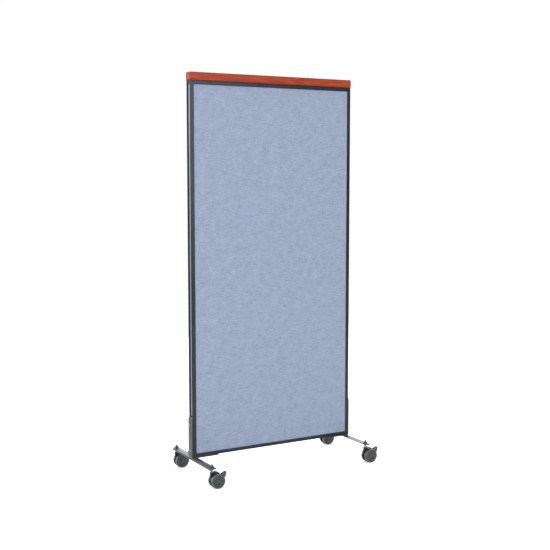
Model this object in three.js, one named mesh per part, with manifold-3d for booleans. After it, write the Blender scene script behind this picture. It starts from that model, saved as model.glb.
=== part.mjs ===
// Mobile partition wall: a fabric-covered panel in an extruded frame with a wood cap,
// standing on two steel feet with four swivelling twin-wheel casters.
// Millimetres, +Z up, +X along the wall, -Y is the side seen from the front.
// The origin is on the floor, at the centre of the footprint with every caster trailing +X.
import * as THREE from "three";
import { mergeVertices } from "three/addons/utils/BufferGeometryUtils.js";
import Module from "manifold-3d";

// ---------------------------------------------------------------- driving dimensions
const GAP = 0.3; // clearance between pieces that touch

// Frame
const WALL_W = 920.75; // over the two end posts
const WALL_T = 44.45; // frame thickness
const FRAME_H = 1845; // bottom rail's underside to top rail's top
const FACE = 17.9; // visible width of every frame member
const GROOVE_W = 26.5; // outer groove of the extrusion
const GROOVE_D = 6;
const WEB = 3.2; // wall between the outer groove and the inner pocket
const LIP = 1.8; // wall that holds the infill at each face
const KEY_T = 3; // corner key plate
const KEY_W = 28;
const KEY_LEG = 62;
const STRIP_T = 1.6; // trim strip in the end groove
const PLUG_H = 17; // plug that closes the top of the end groove
const PLUG_ARCH = 9.5; // radius of the arch cut in the plug

// Infill
const FABRIC_T = 1.2;
const BOARD_T = 9.5;

// Cap
const CAP_H = 41;
const CAP_OVER_END = 3;
const CAP_OVER_FACE = 4;
const CAP_CORNER = 6; // plan radius of the cap's corners
const CAP_EASE = 1.6; // eased top and bottom edges
const CLIP_LENGTH = 60;
const CLIP_T = 2;
const CLIP_INSET = 150; // clip's middle from the end of the wall

// Feet
const BRACKET_T = 6; // steel strap bent to an L
const BRACKET_W = 41.3;
const BRACKET_RISE = 201; // above the bottom rail's underside
const BRACKET_REACH = 140; // along the bottom rail
const BRACKET_BEND = 7; // outer radius of the bend
const CHAMFER_H = 13; // sloped top of the bracket
const CHAMFER_D = 5;
const BAR_W = 31.75;
const BAR_T = 4; // the bar's top plate and its flange
const BAR_FLANGE = 11; // full height at the outer edge
const BAR_OVERHANG = 20; // bar's end beyond the stem
const BAR_CORNER = 8; // plan radius of the bar's ends
const SCREW_HEIGHTS = [28, 160]; // bracket screws above the bottom rail's underside
const SCREW_R = 2.4;
const SCREW_CLEARANCE = 0.35;
const SCREW_HEAD_R = 4.6;
const SCREW_HEAD_H = 2.8;

// Casters
const STEM_SPACING = 410; // front stem to rear stem
const STEM_INSET = 12.65; // stem's axis from the end of the wall
const STEM_R = 5;
const STEM_HOLE_CLEARANCE = 0.4;
const STEM_PIN_R = 3.5; // lower pin that the hood turns on
const STEM_PIN_DEPTH = 26; // pin's length inside the hood
const STEM_POINT = 8; // stud above the nut
const COLLAR_R = 7.5;
const COLLAR_H = 15.8; // between the hood and the bar
const NUT_ACROSS_CORNERS = 19;
const NUT_H = 9;
const WHEEL_R = 36.5;
const WHEEL_W = 16.5;
const WHEEL_SPACE = 11; // between the two wheels
const WHEEL_EASE = 2; // eased edges of the tread
const TRAIL = 25; // axle behind the stem
const AXLE_R = 4;
const AXLE_END = 13; // axle's length inside each wheel
const RUNNING = 0.1; // radial clearance of what turns
const HOOD_RISE = 9; // top of the hood above the wheels
const HOOD_WEB = 10;
const HOOD_BOSS_R = 11;
const HOOD_BOSS_H = 10.3;
const HOOD_SPAN = 40; // width of the arch over the wheels
const HOOD_CLEARANCE = 2.3; // tread to the arch
const HOOD_T = 3.2;
const HOOD_ARCH = [80, 126]; // from its trailing end to its leading end, about the axle
const LEVER_W = 18;
const LEVER_LENGTH = 20.5; // from its pivot to its tip
const PIVOT_CLEARANCE = 3.9; // tread to the lever's pivot
const PIVOT_ANGLE = 45; // above the axle's level
const PIVOT_KNUCKLE_R = 3.2;
const PIN_R = 1.5;

// ---------------------------------------------------------------- places that follow
const HOOD_H = 2 * WHEEL_R + HOOD_RISE;
const HOOD_IN_R = WHEEL_R + HOOD_CLEARANCE;
const HOOD_OUT_R = HOOD_IN_R + HOOD_T;
const PIVOT_R = WHEEL_R + PIVOT_CLEARANCE;
const PIVOT_X = PIVOT_R * Math.cos(THREE.MathUtils.degToRad(PIVOT_ANGLE)); // from the axle
const PIVOT_Z = PIVOT_R * Math.sin(THREE.MathUtils.degToRad(PIVOT_ANGLE));
const LEVER_REACH = PIVOT_X + LEVER_LENGTH;
const COLLAR_BOTTOM = HOOD_H + GAP;
const COLLAR_TOP = COLLAR_BOTTOM + COLLAR_H;
const BAR_TOP = COLLAR_TOP + GAP + BAR_T;
const FRAME_BOTTOM = BAR_TOP + GAP + BRACKET_T + GAP; // bottom rail's underside
const FRAME_TOP = FRAME_BOTTOM + FRAME_H;
const HALF_W = WALL_W / 2;
const HALF_T = WALL_T / 2;
const POCKET_FLOOR = GROOVE_D + WEB; // from a member's outer face
const INFILL_EDGE = POCKET_FLOOR + GAP + KEY_T + GAP; // clear of the corner keys
const BRACKET_OUT = GAP + BRACKET_T; // bracket's outer face beyond the wall's end
const NUT_TOP = BAR_TOP + GAP + NUT_H;
const HEAD_OUT = BRACKET_OUT + GAP + SCREW_HEAD_H; // a screw head's face beyond the wall's end
const LEFT_REACH = HALF_W + HEAD_OUT;
const RIGHT_REACH = HALF_W - STEM_INSET + TRAIL + LEVER_REACH;
const FOOTPRINT_SHIFT = (RIGHT_REACH - LEFT_REACH) / 2;

// ---------------------------------------------------------------- solids
const wasm = await Module();
wasm.setup();

function toSolid(geometry) {
  const bare = geometry.clone();
  bare.deleteAttribute("normal");
  bare.deleteAttribute("uv");
  const merged = mergeVertices(bare, 1e-4);
  return new wasm.Manifold(
    new wasm.Mesh({
      numProp: 3,
      vertProperties: merged.attributes.position.array,
      triVerts: new Uint32Array(merged.index.array),
    }),
  );
}

function toGeometry(solid) {
  const mesh = solid.getMesh();
  const geometry = new THREE.BufferGeometry();
  geometry.setAttribute("position", new THREE.BufferAttribute(mesh.vertProperties, 3));
  geometry.setIndex(new THREE.BufferAttribute(mesh.triVerts, 1));
  geometry.computeVertexNormals();
  return geometry;
}

function cut(geometry, ...tools) {
  return toGeometry(tools.reduce((left, tool) => left.subtract(toSolid(tool)), toSolid(geometry)));
}

function join(geometry, ...others) {
  return toGeometry(others.reduce((sum, other) => sum.add(toSolid(other)), toSolid(geometry)));
}

function common(geometry, other) {
  return toGeometry(toSolid(geometry).intersect(toSolid(other)));
}

function box([x0, x1], [y0, y1], [z0, z1]) {
  const geometry = new THREE.BoxGeometry(x1 - x0, y1 - y0, z1 - z0);
  return geometry.translate((x0 + x1) / 2, (y0 + y1) / 2, (z0 + z1) / 2);
}

function shapeOf(points) {
  return new THREE.Shape(points.map(([a, b]) => new THREE.Vector2(a, b)));
}

function roundedRectangle(halfA, halfB, radius) {
  const shape = new THREE.Shape();
  shape.absarc(halfA - radius, halfB - radius, radius, 0, Math.PI / 2);
  shape.absarc(radius - halfA, halfB - radius, radius, Math.PI / 2, Math.PI);
  shape.absarc(radius - halfA, radius - halfB, radius, Math.PI, 1.5 * Math.PI);
  shape.absarc(halfA - radius, radius - halfB, radius, 1.5 * Math.PI, 2 * Math.PI);
  return shape;
}

// A shape drawn in (y, z), run along X.
function alongX(shape, [from, to], curveSegments = 6) {
  const geometry = new THREE.ExtrudeGeometry(shape, {
    depth: to - from,
    bevelEnabled: false,
    curveSegments,
  });
  const turn = new THREE.Matrix4().makeBasis(
    new THREE.Vector3(0, 1, 0),
    new THREE.Vector3(0, 0, 1),
    new THREE.Vector3(1, 0, 0),
  );
  return geometry.applyMatrix4(turn).translate(from, 0, 0);
}

// A shape drawn in (x, z), run along Y.
function alongY(shape, [from, to], curveSegments = 6) {
  const geometry = new THREE.ExtrudeGeometry(shape, {
    depth: to - from,
    bevelEnabled: false,
    curveSegments,
  });
  return geometry.rotateX(Math.PI / 2).translate(0, to, 0);
}

// A shape drawn in (x, y), run along Z.
function alongZ(shape, [from, to], curveSegments = 6) {
  const geometry = new THREE.ExtrudeGeometry(shape, {
    depth: to - from,
    bevelEnabled: false,
    curveSegments,
  });
  return geometry.translate(0, 0, from);
}

function rodX(radius, [from, to], y, z, sides = 14) {
  const geometry = new THREE.CylinderGeometry(radius, radius, to - from, sides);
  return geometry.rotateZ(Math.PI / 2).translate((from + to) / 2, y, z);
}

function rodY(radius, [from, to], x, z, sides = 20) {
  const geometry = new THREE.CylinderGeometry(radius, radius, to - from, sides);
  return geometry.translate(x, (from + to) / 2, z);
}

function rodZ(radius, [from, to], x, y, sides = 20) {
  const geometry = new THREE.CylinderGeometry(radius, radius, to - from, sides);
  return geometry.rotateX(Math.PI / 2).translate(x, y, (from + to) / 2);
}

// ---------------------------------------------------------------- finishes
function finish(color, roughness, metalness = 0) {
  return new THREE.MeshStandardMaterial({ color, roughness, metalness });
}

const FINISH = {
  framePaint: finish(0x3b4350, 0.42),
  footPaint: finish(0x4a4c50, 0.38),
  trim: finish(0x9a9da1, 0.4, 0.5),
  black: finish(0x17181a, 0.5),
  fabric: finish(0xa0acc3, 0.95),
  board: finish(0x8c6f4e, 0.9),
  core: finish(0xb79a6c, 0.95),
  cherry: finish(0xb0512f, 0.35),
  zinc: finish(0xb9bcc0, 0.3, 0.9),
  casterPlastic: finish(0x2b2c2f, 0.5),
  tyre: finish(0x54565a, 0.6),
  lever: finish(0x55574f, 0.5),
};

const wall = new THREE.Group();

function add(parent, name, geometry, material) {
  const mesh = new THREE.Mesh(geometry, material);
  mesh.name = name;
  parent.add(mesh);
}

const SIDES = [
  ["left", -1],
  ["right", 1],
];

// x of a point a given depth inside the wall's end on that side
const atDepth = (side, depth) => side * (HALF_W - depth);
// the span between two depths, in rising x
const spanOf = (side, a, b) => [atDepth(side, a), atDepth(side, b)].sort((p, q) => p - q);

// ---------------------------------------------------------------- frame
// One extrusion for all four members, as (depth from the outer face, y).
function memberOutline() {
  const pocket = HALF_T - LIP;
  const groove = GROOVE_W / 2;
  return [
    [0, -HALF_T],
    [FACE, -HALF_T],
    [FACE, -pocket],
    [POCKET_FLOOR, -pocket],
    [POCKET_FLOOR, pocket],
    [FACE, pocket],
    [FACE, HALF_T],
    [0, HALF_T],
    [0, groove],
    [GROOVE_D, groove],
    [GROOVE_D, -groove],
    [0, -groove],
  ];
}

function screwHoles(side) {
  const span = spanOf(side, -BRACKET_OUT - 1, INFILL_EDGE);
  const radius = SCREW_R + SCREW_CLEARANCE;
  return SCREW_HEIGHTS.map((height) => rodX(radius, span, 0, FRAME_BOTTOM + height));
}

for (const [name, side] of SIDES) {
  const outline = memberOutline().map(([depth, y]) => [atDepth(side, depth), y]);
  const post = alongZ(shapeOf(outline), [FRAME_BOTTOM, FRAME_TOP]);
  add(wall, `${name}_post`, cut(post, ...screwHoles(side)), FINISH.framePaint);
}

const RAIL_SPAN = [-HALF_W + FACE + GAP, HALF_W - FACE - GAP];
for (const [name, z0, up] of [
  ["bottom_rail", FRAME_BOTTOM, 1],
  ["top_rail", FRAME_TOP, -1],
]) {
  const outline = memberOutline().map(([depth, y]) => [y, z0 + up * depth]);
  add(wall, name, alongX(shapeOf(outline), RAIL_SPAN), FINISH.framePaint);
}

// Corner keys: L plates on the pocket floors, tapped for the brackets' lower screws.
for (const [name, side] of SIDES) {
  for (const [level, z0, up] of [
    ["bottom", FRAME_BOTTOM, 1],
    ["top", FRAME_TOP, -1],
  ]) {
    const near = POCKET_FLOOR + GAP;
    const far = near + KEY_T;
    const outline = [
      [near, near],
      [near + KEY_LEG, near],
      [near + KEY_LEG, far],
      [far, far],
      [far, near + KEY_LEG],
      [near, near + KEY_LEG],
    ].map(([depth, rise]) => [atDepth(side, depth), z0 + up * rise]);
    const key = alongY(shapeOf(outline), [-KEY_W / 2, KEY_W / 2]);
    add(wall, `corner_key_${level}_${name}`, cut(key, ...screwHoles(side)), FINISH.zinc);
  }
}

// Trim strips and plugs in the grooves of the posts' end faces.
const BRACKET_TOP = FRAME_BOTTOM + BRACKET_RISE;
for (const [name, side] of SIDES) {
  const halfStrip = GROOVE_W / 2 - GAP;
  const stripBack = GROOVE_D - GAP;
  const stripFront = stripBack - STRIP_T;
  const stripZ = [BRACKET_TOP + 4, FRAME_TOP - GAP];
  const strip = box(spanOf(side, stripFront, stripBack), [-halfStrip, halfStrip], stripZ);
  add(wall, `${name}_trim_strip`, strip, FINISH.trim);

  const plugBottom = FRAME_TOP - PLUG_H;
  const plugSpan = spanOf(side, GAP, stripFront - GAP);
  const plug = box(plugSpan, [-halfStrip, halfStrip], [plugBottom, FRAME_TOP - GAP]);
  const arch = rodX(PLUG_ARCH, [plugSpan[0] - 1, plugSpan[1] + 1], 0, plugBottom);
  add(wall, `${name}_groove_plug`, cut(plug, arch), FINISH.black);
}

// ---------------------------------------------------------------- infill
const INFILL_X = [-HALF_W + INFILL_EDGE, HALF_W - INFILL_EDGE];
const INFILL_Z = [FRAME_BOTTOM + INFILL_EDGE, FRAME_TOP - INFILL_EDGE];
const FABRIC_FACE = HALF_T - LIP - GAP; // fabric's outer face from the wall's middle
const BOARD_FACE = FABRIC_FACE - FABRIC_T - GAP;
const CORE_FACE = BOARD_FACE - BOARD_T - GAP;

for (const [name, facing] of [
  ["front", -1],
  ["rear", 1],
]) {
  const layer = (outer, thickness) =>
    [facing * outer, facing * (outer - thickness)].sort((p, q) => p - q);
  const fabric = box(INFILL_X, layer(FABRIC_FACE, FABRIC_T), INFILL_Z);
  add(wall, `${name}_fabric`, fabric, FINISH.fabric);
  const board = box(INFILL_X, layer(BOARD_FACE, BOARD_T), INFILL_Z);
  add(wall, `${name}_tackboard`, board, FINISH.board);
}
add(wall, "panel_core", box(INFILL_X, [-CORE_FACE, CORE_FACE], INFILL_Z), FINISH.core);

// ---------------------------------------------------------------- wood cap
const capShape = roundedRectangle(
  HALF_W + CAP_OVER_END - CAP_EASE,
  HALF_T + CAP_OVER_FACE - CAP_EASE,
  CAP_CORNER - CAP_EASE,
);
const cap = new THREE.ExtrudeGeometry(capShape, {
  depth: CAP_H - GAP - 2 * CAP_EASE,
  bevelSize: CAP_EASE,
  bevelThickness: CAP_EASE,
  bevelSegments: 2,
  curveSegments: 4,
});
cap.translate(0, 0, FRAME_TOP + GAP + CAP_EASE);
add(wall, "wood_cap", cap, FINISH.cherry);

// Clips: steel channels screwed to the top rail's groove, which hold the cap from below.
for (const [name, side] of SIDES) {
  const half = GROOVE_W / 2 - GAP;
  const floor = FRAME_TOP - GROOVE_D + GAP;
  const outline = [
    [-half, floor],
    [half, floor],
    [half, FRAME_TOP],
    [half - CLIP_T, FRAME_TOP],
    [half - CLIP_T, floor + CLIP_T],
    [CLIP_T - half, floor + CLIP_T],
    [CLIP_T - half, FRAME_TOP],
    [-half, FRAME_TOP],
  ];
  const middle = atDepth(side, CLIP_INSET);
  const span = [middle - CLIP_LENGTH / 2, middle + CLIP_LENGTH / 2];
  add(wall, `${name}_cap_clip`, alongX(shapeOf(outline), span), FINISH.zinc);
}

// ---------------------------------------------------------------- feet
// Bracket: an L strap up the end of the post and under the bottom rail.
function bracketShape(side) {
  const x = (depth) => atDepth(side, depth);
  const under = FRAME_BOTTOM - GAP;
  const base = under - BRACKET_T;
  const corner = Math.SQRT1_2 * BRACKET_BEND;
  const shape = new THREE.Shape();
  shape.moveTo(x(BRACKET_REACH), base);
  shape.lineTo(x(BRACKET_REACH), under);
  shape.lineTo(x(-GAP), under);
  shape.lineTo(x(-GAP), BRACKET_TOP);
  shape.lineTo(x(-BRACKET_OUT + CHAMFER_D), BRACKET_TOP);
  shape.lineTo(x(-BRACKET_OUT), BRACKET_TOP - CHAMFER_H);
  shape.lineTo(x(-BRACKET_OUT), base + BRACKET_BEND);
  const middle = -BRACKET_OUT + BRACKET_BEND;
  shape.lineTo(x(middle - corner), base + BRACKET_BEND - corner);
  shape.lineTo(x(middle), base);
  return shape;
}

// Bar: a folded plate with its flange down along the outer edge.
function barSection(side) {
  const outer = STEM_INSET - BAR_W / 2;
  const inner = STEM_INSET + BAR_W / 2;
  return shapeOf(
    [
      [outer, BAR_TOP],
      [inner, BAR_TOP],
      [inner, BAR_TOP - BAR_T],
      [outer + BAR_T, BAR_TOP - BAR_T],
      [outer + BAR_T, BAR_TOP - BAR_FLANGE],
      [outer, BAR_TOP - BAR_FLANGE],
    ].map(([depth, z]) => [atDepth(side, depth), z]),
  );
}

const BAR_HALF = STEM_SPACING / 2 + BAR_OVERHANG;
for (const [name, side] of SIDES) {
  const strap = alongY(bracketShape(side), [-BRACKET_W / 2, BRACKET_W / 2]);
  add(wall, `${name}_foot_bracket`, cut(strap, ...screwHoles(side)), FINISH.footPaint);

  const stemX = atDepth(side, STEM_INSET);
  const plan = alongZ(roundedRectangle(BAR_W / 2, BAR_HALF, BAR_CORNER), [0, BAR_TOP + 1]);
  const section = alongY(barSection(side), [-BAR_HALF, BAR_HALF]);
  const holes = [-1, 1].map((end) =>
    rodZ(STEM_R + STEM_HOLE_CLEARANCE, [0, BAR_TOP + 1], stemX, (end * STEM_SPACING) / 2),
  );
  const bar = cut(common(section, plan.translate(stemX, 0, 0)), ...holes);
  add(wall, `${name}_foot_bar`, bar, FINISH.footPaint);

  SCREW_HEIGHTS.forEach((height, index) => {
    const z = FRAME_BOTTOM + height;
    const headSpan = spanOf(side, -HEAD_OUT, -BRACKET_OUT - GAP);
    const shankSpan = spanOf(side, -BRACKET_OUT - GAP - 1, INFILL_EDGE - GAP);
    const screw = join(rodX(SCREW_HEAD_R, headSpan, 0, z), rodX(SCREW_R, shankSpan, 0, z));
    add(wall, `${name}_bracket_screw_${index + 1}`, screw, FINISH.zinc);
  });
}

// ---------------------------------------------------------------- casters
// Drawn with the stem's axis at x = 0, y = 0 and the floor at z = 0; the axle trails in +X.
function latheZ(points, sides) {
  const profile = points.map(([r, z]) => new THREE.Vector2(r, z));
  return new THREE.LatheGeometry(profile, sides).rotateX(Math.PI / 2);
}

const PIN_BOTTOM = HOOD_H - STEM_PIN_DEPTH;

function stemGeometry() {
  return latheZ(
    [
      [0, PIN_BOTTOM],
      [STEM_PIN_R, PIN_BOTTOM],
      [STEM_PIN_R, COLLAR_BOTTOM],
      [COLLAR_R, COLLAR_BOTTOM],
      [COLLAR_R, COLLAR_TOP],
      [STEM_R, COLLAR_TOP],
      [STEM_R, NUT_TOP + STEM_POINT - STEM_R / 2],
      [STEM_R / 2, NUT_TOP + STEM_POINT],
      [0, NUT_TOP + STEM_POINT],
    ],
    20,
  );
}

function nutGeometry() {
  const nut = rodZ(NUT_ACROSS_CORNERS / 2, [BAR_TOP + GAP, NUT_TOP], 0, 0, 6);
  return cut(nut, rodZ(STEM_R + GAP, [BAR_TOP, NUT_TOP + 1], 0, 0));
}

function hoodGeometry() {
  const bossFloor = HOOD_H - HOOD_BOSS_H;
  const boss = rodZ(HOOD_BOSS_R, [bossFloor, HOOD_H], 0, 0, 24);

  const rad = THREE.MathUtils.degToRad;
  const archShape = new THREE.Shape();
  const [archEnd, archStart] = HOOD_ARCH.map(rad);
  archShape.absarc(TRAIL, WHEEL_R, HOOD_OUT_R, archEnd, archStart);
  archShape.absarc(TRAIL, WHEEL_R, HOOD_IN_R, archStart, archEnd, true);
  const arch = alongY(archShape, [-HOOD_SPAN / 2, HOOD_SPAN / 2], 8);

  const axleEye = AXLE_R + 5;
  const webShape = new THREE.Shape();
  webShape.moveTo(-HOOD_BOSS_R + 1, HOOD_H - 1);
  webShape.lineTo(-HOOD_BOSS_R + 1, WHEEL_R + axleEye);
  webShape.lineTo(TRAIL - axleEye, WHEEL_R - axleEye / 2);
  webShape.absarc(TRAIL, WHEEL_R, axleEye, rad(210), rad(360));
  webShape.lineTo(TRAIL + PIVOT_X + PIVOT_KNUCKLE_R, WHEEL_R + PIVOT_Z - 4);
  webShape.absarc(TRAIL + PIVOT_X, WHEEL_R + PIVOT_Z, PIVOT_KNUCKLE_R, 0, rad(90));
  webShape.absarc(TRAIL, WHEEL_R, WHEEL_R - 1, rad(PIVOT_ANGLE + 9), archEnd);
  webShape.absarc(TRAIL, WHEEL_R, HOOD_IN_R + 1, archEnd, archStart);
  webShape.lineTo(HOOD_BOSS_R - 1, bossFloor + 1);
  webShape.lineTo(HOOD_BOSS_R - 1, HOOD_H - 1);
  const web = alongY(webShape, [-HOOD_WEB / 2, HOOD_WEB / 2], 6);

  return cut(
    join(boss, arch, web),
    rodZ(STEM_PIN_R + RUNNING, [PIN_BOTTOM - 1, HOOD_H + 1], 0, 0),
    rodY(AXLE_R + GAP, [-HOOD_WEB, HOOD_WEB], TRAIL, WHEEL_R),
    rodY(PIN_R + GAP, [-HOOD_WEB, HOOD_WEB], TRAIL + PIVOT_X, WHEEL_R + PIVOT_Z, 12),
  );
}

// Wheel: revolved about Y, inner face towards the web, with a blind bore for the axle.
function wheelGeometry(facing) {
  const inner = WHEEL_SPACE / 2;
  const bore = AXLE_R + RUNNING;
  const profile = [
    [0, AXLE_END + GAP],
    [bore, AXLE_END + GAP],
    [bore, 0],
    [WHEEL_R - WHEEL_EASE, 0],
    [WHEEL_R, WHEEL_EASE],
    [WHEEL_R, WHEEL_W - WHEEL_EASE],
    [WHEEL_R - WHEEL_EASE, WHEEL_W],
    [0, WHEEL_W],
  ].map(([r, out]) => new THREE.Vector2(r, facing * (inner + out)));
  const ordered = facing < 0 ? profile.reverse() : profile;
  return new THREE.LatheGeometry(ordered, 36).translate(TRAIL, 0, WHEEL_R);
}

function axleGeometry() {
  const reach = WHEEL_SPACE / 2 + AXLE_END - GAP;
  return rodY(AXLE_R, [-reach, reach], TRAIL, WHEEL_R);
}

function pinGeometry() {
  const reach = LEVER_W / 2 - 1;
  return rodY(PIN_R, [-reach, reach], TRAIL + PIVOT_X, WHEEL_R + PIVOT_Z, 12);
}

// Brake lever: a horn behind the wheels with a shoe along the treads, straddling the web.
function leverGeometry() {
  const shape = new THREE.Shape();
  const at = (x, z) => [TRAIL + x, WHEEL_R + z];
  const from = (x, z) => at(PIVOT_X + x, PIVOT_Z + z);
  const tip = LEVER_LENGTH;
  shape.moveTo(...from(-1, PIVOT_KNUCKLE_R));
  shape.quadraticCurveTo(...from(6, 4), ...from(tip - 6.5, 10));
  shape.quadraticCurveTo(...from(tip - 0.5, 14.5), ...from(tip, 9));
  shape.quadraticCurveTo(...from(tip - 2, -2), ...from(tip - 5.5, -14));
  shape.lineTo(...from(11.2, -15.5));
  shape.quadraticCurveTo(...from(8, -7), ...from(0, -PIVOT_KNUCKLE_R));
  shape.quadraticCurveTo(...from(-PIVOT_KNUCKLE_R * 1.3, 0), ...from(-1, PIVOT_KNUCKLE_R));
  const body = alongY(shape, [-LEVER_W / 2, LEVER_W / 2], 6);
  const halfSlot = HOOD_WEB / 2 + GAP;
  const slotX = [TRAIL, TRAIL + PIVOT_X + PIVOT_KNUCKLE_R + 3];
  const slot = box(slotX, [-halfSlot, halfSlot], [WHEEL_R, HOOD_H + 20]);
  const hole = rodY(PIN_R + GAP, [-LEVER_W, LEVER_W], TRAIL + PIVOT_X, WHEEL_R + PIVOT_Z, 12);
  return cut(body, slot, hole);
}

for (const [end, endSign] of [
  ["front", -1],
  ["rear", 1],
]) {
  for (const [name, side] of SIDES) {
    const caster = new THREE.Group();
    caster.position.set(atDepth(side, STEM_INSET), (endSign * STEM_SPACING) / 2, 0);
    const where = `${end}_${name}`;
    add(caster, `${where}_stem`, stemGeometry(), FINISH.zinc);
    add(caster, `${where}_nut`, nutGeometry(), FINISH.footPaint);
    add(caster, `${where}_hood`, hoodGeometry(), FINISH.casterPlastic);
    add(caster, `${where}_axle`, axleGeometry(), FINISH.zinc);
    add(caster, `${where}_wheel_a`, wheelGeometry(-1), FINISH.tyre);
    add(caster, `${where}_wheel_b`, wheelGeometry(1), FINISH.tyre);
    add(caster, `${where}_brake_lever`, leverGeometry(), FINISH.lever);
    add(caster, `${where}_brake_pin`, pinGeometry(), FINISH.zinc);
    wall.add(caster);
  }
}

const partition = new THREE.Group();
wall.position.x = -FOOTPRINT_SHIFT;
partition.add(wall);
export default partition;
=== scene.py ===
import math

import bmesh
import bpy
from mathutils import Matrix, Vector


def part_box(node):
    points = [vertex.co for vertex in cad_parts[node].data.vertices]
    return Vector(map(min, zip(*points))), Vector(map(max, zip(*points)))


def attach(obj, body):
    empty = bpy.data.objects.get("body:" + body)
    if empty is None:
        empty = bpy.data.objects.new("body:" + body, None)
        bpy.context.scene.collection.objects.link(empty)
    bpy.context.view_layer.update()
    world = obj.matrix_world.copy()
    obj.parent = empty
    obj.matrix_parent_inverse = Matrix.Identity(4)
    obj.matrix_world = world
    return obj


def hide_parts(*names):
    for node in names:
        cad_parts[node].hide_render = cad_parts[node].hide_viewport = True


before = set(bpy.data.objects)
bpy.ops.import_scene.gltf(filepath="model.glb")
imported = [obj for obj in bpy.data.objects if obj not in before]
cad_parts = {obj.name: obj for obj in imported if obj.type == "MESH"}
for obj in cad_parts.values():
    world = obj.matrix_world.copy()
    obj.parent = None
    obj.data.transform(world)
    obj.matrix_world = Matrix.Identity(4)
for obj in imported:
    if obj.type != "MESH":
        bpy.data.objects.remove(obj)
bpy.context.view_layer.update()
scene = bpy.context.scene
scene.view_settings.view_transform = "Standard"

# --- Room and camera -----------------------------------------------------------------
# A white studio cove with a pale floor and four soft boxes: one on the left, two in front
# and one overhead. The room is brighter behind the wall than in front of it.
post_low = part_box("left_post")[0]
wall_left = post_low.x
wall_front = post_low.y

camera_data = bpy.data.cameras.new("camera")
camera_data.sensor_width = 36
camera_data.lens = 66.04
CAMERA_TILT = 5.71  # degrees below level
CAMERA_TURN = 29.87  # degrees round to the wall's left
camera = bpy.data.objects.new("camera", camera_data)
camera.location = (wall_left - 2.0824, wall_front - 4.4383, 1.5073)
camera.rotation_euler = (math.radians(90 - CAMERA_TILT), 0, math.radians(-CAMERA_TURN))
scene.collection.objects.link(camera)
scene.camera = camera

room = bpy.data.worlds.new("white cove")
scene.world = room
room.use_nodes = True
room_nodes = room.node_tree.nodes
room_links = room.node_tree.links
room_nodes.clear()
BACK_WALL = 1.7  # brightness of the room behind the partition
FRONT_WALL = 0.34  # and in front of it
BELOW_HORIZON = 0.4  # share of the brightness that is left below the horizon


def room_range(value, low, high, out_low, out_high):
    node = room_nodes.new("ShaderNodeMapRange")
    node.interpolation_type = "SMOOTHSTEP"
    for label, number in (
        ("From Min", low),
        ("From Max", high),
        ("To Min", out_low),
        ("To Max", out_high),
    ):
        node.inputs[label].default_value = number
    room_links.new(value, node.inputs["Value"])
    return node.outputs["Result"]


room_output = room_nodes.new("ShaderNodeOutputWorld")
seen_or_lit = room_nodes.new("ShaderNodeMixShader")
light_path = room_nodes.new("ShaderNodeLightPath")
seen_white = room_nodes.new("ShaderNodeBackground")
lighting = room_nodes.new("ShaderNodeBackground")
seen_white.inputs["Color"].default_value = (1, 1, 1, 1)
lighting.inputs["Color"].default_value = (0.97, 0.98, 1.0, 1)
direction = room_nodes.new("ShaderNodeTexCoord")
split = room_nodes.new("ShaderNodeSeparateXYZ")
strength = room_nodes.new("ShaderNodeMath")
strength.operation = "MULTIPLY"
room_links.new(direction.outputs["Generated"], split.inputs[0])
behind = room_range(split.outputs["Y"], -0.2, 0.6, FRONT_WALL, BACK_WALL)
above = room_range(split.outputs["Z"], -0.04, 0.06, BELOW_HORIZON, 1.0)
room_links.new(behind, strength.inputs[0])
room_links.new(above, strength.inputs[1])
room_links.new(strength.outputs[0], lighting.inputs["Strength"])
room_links.new(light_path.outputs["Is Camera Ray"], seen_or_lit.inputs["Fac"])
room_links.new(lighting.outputs[0], seen_or_lit.inputs[1])
room_links.new(seen_white.outputs[0], seen_or_lit.inputs[2])
room_links.new(seen_or_lit.outputs[0], room_output.inputs["Surface"])


def soft_box(name, place, aim, size, power, tint=(1, 1, 1)):
    lamp = bpy.data.lights.new(name, "AREA")
    lamp.shape = "RECTANGLE"
    lamp.size, lamp.size_y = size
    lamp.energy = power
    lamp.color = tint
    lamp_object = bpy.data.objects.new(name, lamp)
    lamp_object.location = place
    gaze = Vector(aim) - Vector(place)
    lamp_object.rotation_euler = gaze.to_track_quat("-Z", "Y").to_euler()
    scene.collection.objects.link(lamp_object)


soft_box("tall left", (-3.4, -1.6, 1.8), (-0.4, 0, 1.0), (1.1, 2.6), 36, (1.0, 0.99, 0.97))
soft_box("front right", (1.15, -4.7, 3.5), (-0.2, 0, 1.9), (1.8, 1.7), 16)
soft_box("front", (0.1, -5.0, 1.8), (0.3, 0, 0.1), (2.4, 1.7), 84)
soft_box("overhead", (0.2, 0.3, 4.6), (0, 0, 0), (3.4, 3.4), 140)

FLOOR_HALF = 4.0
floor_mesh = bpy.data.meshes.new("floor")
floor_corners = [(-1, -1), (1, -1), (1, 1), (-1, 1)]
floor_mesh.from_pydata(
    [(a * FLOOR_HALF, b * FLOOR_HALF, 0.0) for a, b in floor_corners], [], [(0, 1, 2, 3)]
)
floor = bpy.data.objects.new("floor", floor_mesh)
scene.collection.objects.link(floor)
floor_paper = bpy.data.materials.new("floor paper")
floor_paper.use_nodes = True
floor_nodes = floor_paper.node_tree.nodes
floor_links = floor_paper.node_tree.links
floor_shader = floor_nodes["Principled BSDF"]
floor_shader.inputs["Base Color"].default_value = (0.93, 0.93, 0.935, 1)
floor_shader.inputs["Roughness"].default_value = 0.7
floor_shader.inputs["Specular IOR Level"].default_value = 0.0
floor_shader.inputs["Emission Color"].default_value = (1, 1, 1, 1)
floor_shader.inputs["Emission Strength"].default_value = 0.42
mirrored_floor = floor_nodes.new("ShaderNodeBsdfDiffuse")
mirrored_floor.inputs["Color"].default_value = (0.54, 0.54, 0.55, 1)
floor_path = floor_nodes.new("ShaderNodeLightPath")
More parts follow.
